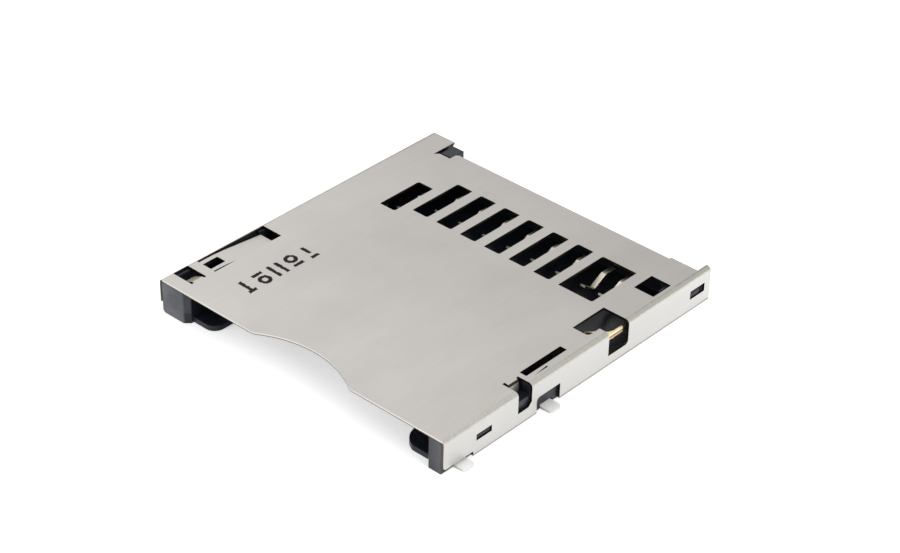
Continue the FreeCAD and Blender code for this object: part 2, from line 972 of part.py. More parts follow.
def leg_face(sense):
    """Outer face of a leg: inside the right arm, but flush with the thin wall of the left one."""
    return housing_side - size("leg_wall") if sense > 0 else housing_side


def cut_leg_slots(body):
    """Each solder leg stands in a slot and comes out under the arm's outer face."""
    gap = size("leg_gap")
    strip = size("leg_strip")
    outside = housing_side + beyond
    right = leg_face(1)
    left = leg_face(-1)
    slots = []
    mouths = []
    for leg in leg_places().values():
        near = leg - gap
        far = leg + size("leg_width") + gap
        slots.append(rectangle(right - strip - gap, near, right + gap, far))
        slots.append(rectangle(-outside, near, strip + gap - left, far))
        mouths.append(rectangle(right, near, outside, far))
    cut(body, "top", -beyond, size("leg_rise") + gap, *slots)
    cut(body, "top", -beyond, size("leg_bend") + gap, *mouths)


def cut_rod_seat(body):
    """A bore for the bent front end of the rod, and a slot in which the rod swings."""
    half = rod_radius + size("rod_slot_gap")
    arm = arm_back - rod_pivot_along
    flare = size("rod_swing") * arm / rod_reach
    far = arm_back + beyond
    slot_floor = rod_height - rod_radius - size("bore_gap")
    cut(body, "top", slot_floor, cover_under + beyond, [
        (rod_pivot_across - half, rod_pivot_along),
        (rod_pivot_across + half, rod_pivot_along),
        (rod_pivot_across + half + flare, far),
        (rod_pivot_across - half - flare, far),
    ])
    cut(body, "top", rod_height - size("rod_bend") - rod_radius, cover_under, rectangle(
        rod_pivot_across - half, rod_pivot_along,
        rod_pivot_across + half, rod_pivot_along + size("rod_bend")))
    foot = size("rod_pivot_foot") - size("bore_gap")
    bore = body.newObject("PartDesign::Pocket", "housing_rod_bore")
    bore.Profile = new_sketch(body, "top", foot)
    draw_circle(bore.Profile[0], rod_pivot_across, rod_pivot_along, rod_radius + size("bore_gap"))
    bore.Reversed = True
    bind(bore, "Length", cover_under + beyond - foot)
    body.Tip = bore


def cut_cover_clearances(body):
    """A hollow for the right tab bent down from the cover, and a lower wall beside its leaf."""
    gap = size("tab_gap")
    sheet = size("sheet")
    tab_root = half_width - size("tab_root_from_edge")
    tab_near = front + size("tab_cut_front")
    cut(body, "top", cover_top - size("tab_drop") - gap, cover_under + beyond, rectangle(
        tab_root - sheet, tab_near, housing_side + beyond, tab_near + size("tab_cut_length")))
    leaf_far = leaf_places()[3]
    cut(body, "top", cover_under - size("leaf_drop") - gap, cover_under + beyond, rectangle(
        -housing_side - beyond, arm_back, channel_left + beyond, leaf_far + gap))


def cut_open_pits(body):
    """The right arm is deep under the cover's long slot and square hole, the left under its tab."""
    top = cover_under + beyond
    gap = size("pit_gap")
    wall = size("pit_wall")
    blade = half_width - size("blade_from_edge") - size("blade_gap")
    slot_far = long_slot_near + size("long_slot_length") + gap
    cut(body, "top", bay_floor, top,
        rectangle(bay_right - beyond, long_slot_near - gap, blade - wall, slot_far),
        rectangle(bay_right - beyond, pocket_far - beyond, blade - wall, square_hole_far + gap))
    pin_left, pin_right, pin_near, pin_far = pin_cut_places()
    cut(body, "top", cover_under - size("pivot_pit_drop"), top, rectangle(
        channel_left, pin_near - gap, pin_right, pin_far + gap))


def add_latch_bumps(body):
    """Wedges that snap into the latch holes of the cover's walls; the right block ends first."""
    gap = size("bump_gap")
    inner = housing_side - size("cover_fit")
    outer = half_width - size("sheet") + size("bump_stand")
    front_hole, rear_hole = latch_holes()
    near, foot, far, top = rear_hole
    short_hole = (near, foot, right_block_back, top)
    for hole, sense in ((front_hole, 1), (front_hole, -1), (short_hole, 1), (rear_hole, -1)):
        near, foot, far, top = hole
        add(body, "front", near + gap, far - gap, [
            (inner * sense, foot + gap),
            (outer * sense, foot + gap),
            (outer * sense, (foot + top) / 2),
            (inner * sense, top - gap),
        ])


def add_peg(body, near, far):
    """A peg along Y that centres one end of the ejector spring."""
    peg = body.newObject("PartDesign::Pad", f"{body.Name}_peg")
    peg.Profile = new_sketch(body, "front", near)
    draw_circle(peg.Profile[0], spring_across, spring_height, size("peg_diameter") / 2)
    peg.Reversed = True
    bind(peg, "Length", far - near)
    body.Tip = peg


# Slider: carries the card's cut corner and the heart-shaped track

def make_slider():
    body = new_body("slider")
    left = channel_left + size("slider_gap")
    right = bay_left - size("slider_gap")
    foot = bay_floor + size("slider_gap")
    top = cover_under - size("slider_top_gap")
    deck_far = rod_tip_along + size("deck_behind")
    add(body, "side", left, right, [
        (slider_front, foot),
        (slider_back, foot),
        (slider_back, top),
        (deck_far + size("slider_step"), top),
        (deck_far, deck),
        (slider_front, deck),
    ])
    wing_right = right + size("wing_reach")
    wing_back = wing_front + size("wing_length")
    arm_left = right - size("wing_arm")
    add(body, "top", foot, cover_under - size("wing_top_gap"), [
        (arm_left, wing_front),
        (right, wing_front),
        (wing_right, wing_front + size("wing_reach")),
        (wing_right, wing_back - size("wing_corner")),
        (wing_right - size("wing_corner"), wing_back),
        (arm_left, wing_back),
    ])
    cut_heart_track(body)
    add_peg(body, slider_back - size("sheet"), slider_back + size("peg_length"))
    return body


def cut_heart_track(body):
    """The rod's tip goes in along the left lane, rests in the notch, and leaves by the right."""
    half = rod_radius + size("track_gap")
    rest = rod_pivot_across + size("rod_swing")
    inward = rod_pivot_across - size("rod_swing")
    outward = inward + size("track_return")
    end = rod_tip_along - size("travel")
    lobe = end + size("heart_front")
    left_slope = (rest - inward) / size("travel")
    right_slope = (outward - rest) / size("travel")
    heart_length = (size("track_return") - half * 2) / (left_slope + right_slope)
    heart_left = inward + half
    heart_right = outward - half
    cut(
        body, "top", deck - size("track_depth"), deck + beyond,
        [
            (inward - half, end, half),
            (inward, end - half),
            (outward, end - half, half),
            (outward + half, end),
            (rest + half, rod_tip_along, half),
            (rest - half, rod_tip_along),
        ],
        [
            (heart_left + left_slope * size("heart_front"), lobe),
            ((heart_left + heart_right) / 2, lobe + size("heart_notch")),
            (heart_right - right_slope * size("heart_front"), lobe),
            (heart_left + left_slope * heart_length, end + heart_length),
        ],
    )


# Follower rod: a wire with both ends bent down, turned to where the spring leaves it

def turns(count):
    return [math.tau * step / count for step in range(count)]


def make_follower_rod():
    body = new_body("follower_rod")
    bend = size("rod_bend")
    foot = size("rod_pivot_foot")
    tip_foot = deck - size("track_depth") + size("track_foot_gap")
    path = new_sketch(body, "side", 0)
    draw(path, [
        (0, foot),
        (0, rod_height - bend, -bend),
        (bend, rod_height),
        (rod_reach - bend, rod_height, -bend),
        (rod_reach, rod_height - bend),
        (rod_reach, tip_foot),
    ], closed=False)
    section = new_sketch(body, "top", foot)
    # Twelve flat sides stand in for the round wire, which keeps its two bends light.
    draw(section, [(rod_radius * math.cos(turn), rod_radius * math.sin(turn)) for turn in turns(12)])
    pipe = body.newObject("PartDesign::AdditivePipe", "follower_rod_wire")
    pipe.Profile = section
    pipe.Spine = path
    body.Tip = pipe
    body.Placement.Rotation = FreeCAD.Rotation(FreeCAD.Vector(0, 0, -1), 0)
    bind(body, "Placement.Base.x", rod_pivot_across)
    bind(body, "Placement.Base.y", rod_pivot_along)
    swing = size("rod_swing") / rod_reach
    body.setExpression("Placement.Rotation.Angle", f"asin({swing.text})")
    return body


# Ejector spring: a plain coil between the slider and the rear block

def make_eject_spring():
    body = new_body("eject_spring")
    wire = size("spring_wire")
    length = channel_end - slider_back
    section = new_sketch(body, "front", 0)
    middle = (size("spring_diameter") - wire) / 2
    half = wire / 2
    slope = wire * square_root(as_size(3)) / 4
    # Six flat sides stand in for the round wire, which keeps the coil light.
    draw(section, [
        (middle + half, half),
        (middle + half / 2, half + slope),
        (middle - half / 2, half + slope),
        (middle - half, half),
        (middle - half / 2, half - slope),
        (middle + half / 2, half - slope),
    ])
    coil = body.newObject("PartDesign::AdditiveHelix", "eject_spring_coil")
    coil.Profile = section
    coil.ReferenceAxis = (section, ["V_Axis"])
    coil.Mode = "height-turns-angle"
    bind(coil, "Height", length - wire)
    bind(coil, "Turns", size("spring_turns"))
    body.Tip = coil
    body.Placement.Rotation = FreeCAD.Rotation(FreeCAD.Vector(1, 0, 0), -90)
    bind(body, "Placement.Base.x", spring_across)
    bind(body, "Placement.Base.y", slider_back)
    bind(body, "Placement.Base.z", spring_height)
    return body


# Strips: an open path thickened to its left and extruded across

def make_strip(name, rotation, corners, thickness, width):
    path = doc.addObject("Sketcher::SketchObject", f"{name}_path")
    draw(path, corners, closed=False)
    profile = doc.addObject("Part::Offset2D", f"{name}_profile")
    profile.Source = path
    profile.Mode = "Skin"
    profile.Fill = True
    bind(profile, "Value", -thickness)
    strip = doc.addObject("Part::Extrusion", name)
    strip.Base = profile
    strip.Solid = True
    strip.DirMode = "Normal"
    bind(strip, "LengthFwd", width)
    strip.Placement.Rotation = rotation
    return strip


def make_contact(number):
    """The beam leaves the comb, slopes down to the card, and its tail lies on the board."""
    row = contact_row - size("ninth_forward") if number == 9 else contact_row
    point = cover_under - size("contact_drop")
    beam = cover_under - size("beam_drop")
    radius = size("crest_radius")
    half = size("crest_length") / 2
    crest = point + radius - square_root(radius * radius - half * half)
    bend = size("tail_bend")
    tail = plate_back + size("contact_wall_gap")
    across_x = FreeCAD.Rotation(FreeCAD.Vector(1, 1, 1), 120)
    contact = make_strip(f"contact_{number}", across_x, [
        (row - size("tip_run"), point + size("tip_rise")),
        (row - half, crest, radius),
        (row + half, crest),
        (row + size("slope_run"), beam),
        (tail, beam),
        (tail, bend, bend),
        (tail + bend, 0),
        (back, 0),
    ], size("contact_strip"), size("contact_width"))
    bind(contact, "Placement.Base.x", contact_place(number) - size("contact_width") / 2)
    return contact


# Switches: on-edge blades whose legs go down through the arm to the board

def make_box(name, left, near, foot, wide, deep, tall):
    box = doc.addObject("Part::Box", name)
    for place, number in zip("xyz", (left, near, foot)):
        bind(box, f"Placement.Base.{place}", number)
    for place, number in zip(("Length", "Width", "Height"), (wide, deep, tall)):
        bind(box, place, number)
    return box


def join_blade(name, blade, foot):
    """The blade, the leg under its root and the solder foot at the end of the leg are one strip."""
    face, root_near, root_far, leg_near = blade_places()[name]
    strip = size("blade_strip")
    reach = size("blade_foot")
    deep = size("blade_leg")
    whole = doc.addObject("Part::MultiFuse", name)
    whole.Shapes = [
        blade,
        make_box(f"{name}_leg", face, leg_near, 0, strip, deep, foot),
        make_box(f"{name}_foot", face - reach, leg_near, 0, reach, deep, strip),
    ]
    whole.Refine = True
    return whole


def make_moving_blade(name, corners):
    foot = cover_under - size("blade_drop")
    blade = make_strip(
        f"{name}_blade", FreeCAD.Rotation(), corners, size("blade_strip"), size("blade_height"))
    bind(blade, "Placement.Base.z", foot)
    return join_blade(name, blade, foot)


def make_fixed_blade(name, near, far):
    foot = cover_under - size("fixed_drop")
    face = blade_places()[name][0]
    blade = make_box(
        f"{name}_blade", face, near, foot, size("blade_strip"), far - near, size("fixed_height"))
    return join_blade(name, blade, foot)


def make_switches():
    """Each bump stands into the card's path and, when pushed, moves its tip to the fixed blade."""
    places = blade_places()
    face, protect_root = places["write_protect_spring"][:2]
    detect_root = places["card_detect_spring"][2]
    bump = card_right - size("blade_bump")
    flat = size("blade_flat") / 2
    slope = size("blade_slope")
    rise = size("blade_rise")
    splay = face + size("blade_splay")
    protect = pocket_near + size("protect_bump")
    detect = pocket_far - size("detect_bump")
    protect_spring = make_moving_blade("write_protect_spring", [
        (splay, protect + size("protect_tip")),
        (face, protect + slope),
        (bump, protect + flat),
        (bump, protect - flat),
        (face, protect - rise),
        (face, protect_root),
    ])
    detect_spring = make_moving_blade("card_detect_spring", [
        (face, detect_root),
        (face, detect + rise),
        (bump, detect + flat),
        (bump, detect - flat),
        (face, detect - slope),
        (splay, detect - size("detect_tip")),
    ])
    protect_far = pocket_near + size("protect_fixed_reach")
    protect_contact = make_fixed_blade(
        "write_protect_contact", places["write_protect_contact"][1], protect_far)
    detect_contact = make_fixed_blade(
        "card_detect_contact", protect_far + size("fixed_blade_gap"),
        places["card_detect_contact"][2])
    return [protect_spring, detect_spring, protect_contact, detect_contact]


# Solder legs: bent strips that stand in the arms and reach out over the board

def make_solder_leg(name, near, sense):
    body = new_body(name)
    strip = size("leg_strip")
    bend = size("leg_bend")
    inner = (leg_face(sense) - strip) * sense
    outer = leg_face(sense) * sense
    turned = inner + bend * sense
    tip = (housing_side + size("leg_reach")) * sense
    add(body, "front", near, near + size("leg_width"), [
        (inner, size("leg_rise")),
        (inner, bend, bend * sense),
        (turned, 0),
        (tip, 0),
        (tip, strip),
        (turned, strip, (strip - bend) * sense),
        (outer, bend),
        (outer, size("leg_rise")),
    ])

    def is_tip_corner(edge):
        box = edge.BoundBox
        return box.ZLength > box.XLength + box.YLength and abs(box.Center.x - tip.value) < strip.value / 2

    round_edges(body, size("leg_corner"), is_tip_corner)
    return body


def make_solder_legs():
    return [
        make_solder_leg(f"solder_leg_{place}_{side}", near, sense)
        for place, near in leg_places().items()
        for side, sense in (("right", 1), ("left", -1))
    ]


pieces = [make_cover(), make_housing(), make_slider(), make_follower_rod(), make_eject_spring()]
pieces += [make_contact(number) for number in range(1, 10)]
pieces += make_switches()
pieces += make_solder_legs()
doc.recompute()

for item in doc.Objects:
    if "Invalid" in item.State or "Error" in item.State:
        raise RuntimeError(f"{item.Name} did not build: {item.State}")
for piece in pieces:
    if piece.Shape.isNull() or not piece.Shape.isValid() or len(piece.Shape.Solids) != 1:
        raise RuntimeError(f"{piece.Label} is not one valid solid")
for piece in pieces:
    piece.Shape.exportStep(f"parts/{piece.Label}.step")
    box = piece.Shape.BoundBox
    print(f"{piece.Label}: {piece.Shape.Volume:.3f} cubic mm, X {box.XMin:.2f} to {box.XMax:.2f}, "
          f"Y {box.YMin:.2f} to {box.YMax:.2f}, Z {box.ZMin:.2f} to {box.ZMax:.2f}")
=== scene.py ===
import math
import bpy
from mathutils import Matrix, Vector


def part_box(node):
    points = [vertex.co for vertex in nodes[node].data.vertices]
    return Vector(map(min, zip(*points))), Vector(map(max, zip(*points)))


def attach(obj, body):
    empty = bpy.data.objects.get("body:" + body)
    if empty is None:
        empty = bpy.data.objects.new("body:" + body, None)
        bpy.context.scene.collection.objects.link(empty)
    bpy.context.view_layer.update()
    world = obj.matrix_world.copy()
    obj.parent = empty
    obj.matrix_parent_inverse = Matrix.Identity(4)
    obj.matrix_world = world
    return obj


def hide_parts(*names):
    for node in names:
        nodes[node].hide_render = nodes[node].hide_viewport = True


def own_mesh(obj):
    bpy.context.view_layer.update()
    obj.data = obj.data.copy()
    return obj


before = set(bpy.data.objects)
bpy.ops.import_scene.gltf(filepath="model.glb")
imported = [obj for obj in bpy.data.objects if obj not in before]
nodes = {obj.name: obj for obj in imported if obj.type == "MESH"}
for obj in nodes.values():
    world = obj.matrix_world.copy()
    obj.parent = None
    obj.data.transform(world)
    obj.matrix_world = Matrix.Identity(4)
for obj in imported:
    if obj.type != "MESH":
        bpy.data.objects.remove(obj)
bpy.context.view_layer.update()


# Steel cover: one sheet of rolled stainless steel, blanked, pierced and folded down at both sides.
# The sheet is satin, with faint streaks along the rolling direction and cloudy patches. The two
# folds are stretched, so they are mottled and a little yellow, and the sheared edges are darker.

def new_material(name):
    material = bpy.data.materials.new(name)
    material.use_nodes = True
    return material, material.node_tree, material.node_tree.nodes["Principled BSDF"]


def add_node(tree, kind, **settings):
    node = tree.nodes.new(kind)
    for name, value in settings.items():
        setattr(node, name, value)
    return node


def math_node(tree, operation, first, second=None, clamp=False):
    """A Math node; each input is a socket to link or a number to set."""
    node = add_node(tree, "ShaderNodeMath", operation=operation, use_clamp=clamp)
    for socket, value in zip(node.inputs, (first, second)):
        if value is None:
            continue
        if isinstance(value, (int, float)):
            socket.default_value = value
        else:
            tree.links.new(value, socket)
    return node.outputs[0]


def plus(tree, first, second, clamp=False):
    return math_node(tree, "ADD", first, second, clamp)


def minus(tree, first, second, clamp=False):
    return math_node(tree, "SUBTRACT", first, second, clamp)


def times(tree, first, *others):
    for other in others:
        first = math_node(tree, "MULTIPLY", first, other)
    return first


def larger(tree, first, second):
    return math_node(tree, "MAXIMUM", first, second)


def above(tree, value, limit):
    return math_node(tree, "GREATER_THAN", value, limit)


def below(tree, value, limit):
    return math_node(tree, "LESS_THAN", value, limit)


def without_sign(tree, value):
    return math_node(tree, "ABSOLUTE", value)


def apart(tree, value, middle):
    """How far the value is from the middle, to either side."""
    return without_sign(tree, minus(tree, value, middle))


def share(tree, value, start, end):
    """0 up to the start, 1 from the end on, and even in between."""
    return math_node(tree, "DIVIDE", minus(tree, value, start), end - start, clamp=True)


def fade(tree, distance, reach):
    """1 where the distance is 0 or less, falling to 0 at the reach."""
    return minus(tree, 1.0, math_node(tree, "DIVIDE", distance, reach), clamp=True)


def split(tree, vector):
    node = add_node(tree, "ShaderNodeSeparateXYZ")
    tree.links.new(vector, node.inputs[0])
    return node.outputs


def noise(tree, vector, scale, detail, stretch=(1.0, 1.0, 1.0)):
    mapping = add_node(tree, "ShaderNodeMapping")
    mapping.inputs["Scale"].default_value = stretch
    tree.links.new(vector, mapping.inputs["Vector"])
    texture = add_node(tree, "ShaderNodeTexNoise")
    texture.inputs["Scale"].default_value = scale
    texture.inputs["Detail"].default_value = detail
    tree.links.new(mapping.outputs[0], texture.inputs["Vector"])
    return texture.outputs["Fac"]


def ramp(tree, factor, first, last):
    """A colour ramp of two stops; each is (place, grey) or (place, (r, g, b))."""
    node = add_node(tree, "ShaderNodeValToRGB")
    for element, (place, colour) in zip(node.color_ramp.elements, (first, last)):
        element.position = place
        if isinstance(colour, (int, float)):
            colour = (colour, colour, colour)
        element.color = (*colour, 1.0)
    tree.links.new(factor, node.inputs["Fac"])
    return node.outputs["Color"]


def mix_colour(tree, factor, first, second):
    """The second colour over the first by a factor; a colour is a socket or an (r, g, b)."""
    node = add_node(tree, "ShaderNodeMix", data_type="RGBA")
    places = (node.inputs["Factor"], node.inputs[6], node.inputs[7])
    for socket, value in zip(places, (factor, first, second)):
        if isinstance(value, tuple):
            socket.default_value = (*value, 1.0)
        else:
            tree.links.new(value, socket)
    return node.outputs[2]


def group_with(name, inputs, outputs):
    group = bpy.data.node_groups.new(name, "ShaderNodeTree")
    for socket, kind in inputs:
        group.interface.new_socket(name=socket, in_out="INPUT", socket_type=kind)
    for socket, kind in outputs:
        group.interface.new_socket(name=socket, in_out="OUTPUT", socket_type=kind)
    return group, group.nodes.new("NodeGroupInput"), group.nodes.new("NodeGroupOutput")


def rolled_grain():
    """Fine streaks along Y with cloudy patches, as rolled strip has: a tone and a height."""
    group, given, result = group_with(
        "rolled_grain",
        [("Vector", "NodeSocketVector"), ("Streaks", "NodeSocketFloat"),
         ("Clouds", "NodeSocketFloat")],
        [("Tone", "NodeSocketFloat"), ("Height", "NodeSocketFloat")])
    vector = given.outputs["Vector"]
    streaks = noise(group, vector, scale=900.0, detail=4.0, stretch=(6.0, 0.35, 6.0))
    clouds = noise(group, vector, scale=160.0, detail=5.0, stretch=(1.0, 0.7, 1.0))
    speckle = noise(group, vector, scale=6000.0, detail=2.0)
    middle = 0.5
    streak_part = times(group, minus(group, streaks, middle), given.outputs["Streaks"])
    cloud_part = times(group, minus(group, clouds, middle), given.outputs["Clouds"])
    tone = plus(group, plus(group, streak_part, cloud_part), middle, clamp=True)
    height = plus(group, times(group, streaks, 0.6), times(group, speckle, 0.4))
    group.links.new(tone, result.inputs["Tone"])
    group.links.new(height, result.inputs["Height"])
    return group


grain_group = rolled_grain()


def place_grain(tree, streaks, clouds):
    place = add_node(tree, "ShaderNodeTexCoord")
    grain = add_node(tree, "ShaderNodeGroup")
    grain.node_tree = grain_group
    grain.inputs["Streaks"].default_value = streaks
    grain.inputs["Clouds"].default_value = clouds
    tree.links.new(place.outputs["Object"], grain.inputs["Vector"])
    return place, grain


def bump(tree, shader, height, strength, distance, under=None):
    """Relief on the faces themselves, or on the normal under it that another node gives."""
    node = add_node(tree, "ShaderNodeBump")
    node.inputs["Strength"].default_value = strength
    node.inputs["Distance"].default_value = distance
    tree.links.new(height, node.inputs["Height"])
    if under is not None:
        tree.links.new(under, node.inputs["Normal"])
    tree.links.new(node.outputs[0], shader.inputs["Normal"])


def dress(material, *names):
    for name in names:
        piece = nodes[name]
        piece.data.materials.clear()
        piece.data.materials.append(material)


cover_low, cover_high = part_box("cover")
cover_top = cover_high[2]
sheet = 0.0002
turned = 0.5
sheet_steel, tree, shader = new_material("rolled_stainless")
place, grain = place_grain(tree, streaks=0.3, clouds=1.0)
spot = split(tree, place.outputs["Object"])
facing = split(tree, place.outputs["Normal"])
from_side = minus(tree, cover_high[0], without_sign(tree, spot["X"]))
from_top = minus(tree, cover_top, spot["Z"])
along = share(tree, spot["Y"], cover_low[1], cover_high[1])
sideways = share(tree, spot["X"], cover_low[0], cover_high[0])

# Painted shade: the plate is darkened towards the back and the right, and the right wall towards the
# mouth.
# The outer face of that wall is also nearer to one even tone.
satin_dark = (0.595, 0.568, 0.538)
satin_light = (0.71, 0.68, 0.652)
painted_shade_steel = (0.14, 0.13, 0.125)
wall_steel = (0.665, 0.668, 0.65)
back_shading = 0.26
right_shading = 0.14
mouth_shading = 0.26
wall_evening = 0.5
outer_skin = 0.00005
plate_colour = ramp(tree, grain.outputs["Tone"], (0.15, satin_dark), (0.85, satin_light))
plate_shading = plus(
    tree, times(tree, along, back_shading), times(tree, sideways, right_shading))
wall_shading = times(tree, minus(tree, 1.0, along), mouth_shading)
top_face = above(tree, facing["Z"], turned)
wall_face = times(tree, above(tree, facing["X"], turned), below(tree, from_side, outer_skin))
painted_shade = plus(tree, times(tree, top_face, plate_shading), times(tree, wall_face, wall_shading))
# Painted shade, mixed in by place on the cover.
plate_colour = mix_colour(tree, painted_shade, plate_colour, painted_shade_steel)
plate_colour = mix_colour(tree, times(tree, wall_face, wall_evening), plate_colour, wall_steel)

# The folds are mottled and yellower, more so at the back, and a dark line runs along the plate
# where each of them starts.
fold_yellow = (0.45, 0.447, 0.32)
fold_shadow = (0.17, 0.165, 0.11)
fold_reach = 0.00034
line_inset = 0.00033
line_reach = 0.00008
plate_skin = 0.00006
front_strength = 0.75
mottle = noise(tree, place.outputs["Object"], scale=3600.0, detail=4.0)
fold_mask = fade(tree, larger(tree, from_side, from_top), fold_reach)
fold_strength = plus(tree, front_strength, times(tree, along, 1.0 - front_strength))
fold_tone = times(tree, fold_mask, ramp(tree, mottle, (0.4, 0.15), (0.56, 1.0)), fold_strength)
colour = mix_colour(tree, fold_tone, plate_colour, fold_yellow)
fold_line = times(
    tree, fade(tree, apart(tree, from_side, line_inset), line_reach),
    below(tree, from_top, plate_skin), along, ramp(tree, mottle, (0.38, 0.25), (0.56, 0.8)))
colour = mix_colour(tree, fold_line, colour, fold_shadow)

# The small tab by the rod's pivot slants down; the warm tan on its upward faces is a painted
# reflection.
tab_reflection_tan = (0.50, 0.40, 0.27)
tab_reflection_strength = 0.6
level = 0.985
tab_back = -0.0115
tab_right = -0.0115
pivot_tab = times(
    tree, above(tree, facing["Z"], turned), below(tree, facing["Z"], level),
    below(tree, spot["Y"], tab_back), below(tree, spot["X"], tab_right))
colour = mix_colour(tree, times(tree, pivot_tab, tab_reflection_strength), colour, tab_reflection_tan)

# Painted shade: the inner faces are darker than the outside. On an inner wall the normal points the
# other way from the wall's own place across the cover, so their product is well below 0.
inner_shade_grey = (0.05, 0.048, 0.045)
inner_shade_strength = 0.75
inward = -0.006
inner_wall = below(tree, times(tree, facing["X"], spot["X"]), inward)
inner_face = larger(tree, inner_wall, below(tree, facing["Z"], -turned))
colour = mix_colour(tree, times(tree, inner_face, inner_shade_strength), colour, inner_shade_grey)

# Sheared faces: across Y anywhere, across X in the plate, and across Z in the walls. The front of
# the plate is bright, because it faces the light. Its lower edge and the walls' feet are brown.
sheared_brown = (0.05, 0.04, 0.028)
edge_brown = (0.11, 0.075, 0.06)
past_sheet = sheet * 1.05
outer_half = sheet * 0.5
lower_part = sheet * 0.7
plate_from_side = 0.00036
wall_from_top = 0.0005
bright_back = -0.01345
bright_left = -0.01415
foot_start = 0.00002
foot_reach = 0.00014
plate_cut = times(
    tree, above(tree, without_sign(tree, facing["X"]), turned), below(tree, from_top, past_sheet),
    above(tree, from_side, plate_from_side))
wall_cut = times(
    tree, above(tree, without_sign(tree, facing["Z"]), turned), above(tree, from_top, wall_from_top),
    below(tree, from_side, past_sheet))
any_cut = larger(tree, above(tree, without_sign(tree, facing["Y"]), turned),
                 larger(tree, plate_cut, wall_cut))
bright_front = times(tree, below(tree, facing["Y"], -turned), below(tree, spot["Y"], bright_back),
                     above(tree, spot["X"], bright_left))
sheared = times(tree, any_cut, minus(tree, 1.0, bright_front))
wall_foot = times(tree, fade(tree, minus(tree, spot["Z"], foot_start), foot_reach),
                  below(tree, from_side, outer_half))
lower_edge = times(tree, bright_front, above(tree, from_top, lower_part))
colour = mix_colour(tree, larger(tree, wall_foot, lower_edge), colour, edge_brown)
colour = mix_colour(tree, sheared, colour, sheared_brown)


# Ink on the plate: a row of plain bars and rings in short dark strokes. Their edges are rough, as a
# dot printer leaves them. The row runs along Y on the left of the plate, near the mouth.

def bar_distance(tree, x, y, centre, half):
    sides = [minus(tree, apart(tree, value, middle), reach)
             for value, middle, reach in zip((x, y), centre, half)]
    return larger(tree, *sides)


def ring_distance(tree, x, y, centre, radius, stroke):
    squares = [math_node(tree, "POWER", minus(tree, value, middle), 2.0)
               for value, middle in zip((x, y), centre)]
    from_centre = math_node(tree, "SQRT", plus(tree, *squares))
    return minus(tree, apart(tree, from_centre, radius), stroke)


def ink_marks():
    """Mask of five marks of bars and rings, each about 1.6 mm long across the row."""
    group, given, result = group_with(
        "ink_marks", [("Vector", "NodeSocketVector")], [("Mask", "NodeSocketFloat")])
    spot = split(group, given.outputs["Vector"])
    wobble = noise(group, given.outputs["Vector"], scale=3800.0, detail=1.0)
    wobble_size = 0.0002
    shift = times(group, minus(group, wobble, 0.5), wobble_size)
    x = plus(group, spot["X"], shift)
    y = minus(group, spot["Y"], shift)
    row = -0.00894
    first_mark = -0.01127
    spacing = 0.00163
    stroke = 0.00016
    long_half = 0.0008
    short_half = 0.0005
    foot_half = 0.0004
    foot_shift = 0.0007
    ring_radius = 0.0004
    mark_shift = 0.0003
    short_shift = 0.0006
    pair_half = 0.0004
    softness = 0.00004
    ink_depth = 0.00001
    first, second, third, fourth, fifth = [first_mark + spacing * step for step in range(5)]
    marks = [
        bar_distance(group, x, y, (row, first), (long_half, stroke)),
        bar_distance(group, x, y, (row + foot_shift, first), (stroke, foot_half)),
        ring_distance(group, x, y, (row + mark_shift, second), ring_radius, stroke),
        bar_distance(group, x, y, (row - short_shift, second), (stroke, short_half)),
        bar_distance(group, x, y, (row, third - pair_half), (long_half, stroke)),
        bar_distance(group, x, y, (row, third + pair_half), (long_half, stroke)),
        ring_distance(group, x, y, (row - mark_shift, fourth), ring_radius, stroke),
        bar_distance(group, x, y, (row + short_shift, fourth), (stroke, short_half)),
        bar_distance(group, x, y, (row - mark_shift, fifth), (short_half, stroke)),
        bar_distance(group, x, y, (row + foot_shift, fifth), (stroke, foot_half)),
    ]
    nearest = marks[0]
    for mark in marks[1:]:
        nearest = math_node(group, "MINIMUM", nearest, mark)
    mask = minus(group, 0.5, math_node(group, "DIVIDE", nearest, softness), clamp=True)
    on_top = above(group, spot["Z"], cover_top - ink_depth)
    group.links.new(times(group, mask, on_top), result.inputs["Mask"])
    return group


ink_black = (0.012, 0.006, 0.008)
ink_roughness = 0.6
print_marks = add_node(tree, "ShaderNodeGroup")
print_marks.node_tree = ink_marks()
tree.links.new(place.outputs["Object"], print_marks.inputs["Vector"])
ink = print_marks.outputs["Mask"]
tree.links.new(mix_colour(tree, ink, colour, ink_black), shader.inputs["Base Color"])
tree.links.new(minus(tree, 1.0, ink), shader.inputs["Metallic"])
shader.inputs["Specular IOR Level"].default_value = 0.15
steel_roughness = ramp(tree, grain.outputs["Tone"], (0.1, 0.47), (0.9, 0.38))
tree.links.new(larger(tree, steel_roughness, times(tree, ink, ink_roughness)),
               shader.inputs["Roughness"])
bump(tree, shader, grain.outputs["Height"], strength=0.22, distance=0.000012)
dress(sheet_steel, "cover")


# Moulded housing and slider: glass-filled black plastic from a spark-eroded mould, so the faces
# carry a fine dull grain. The edges are slightly rounded and catch the light.

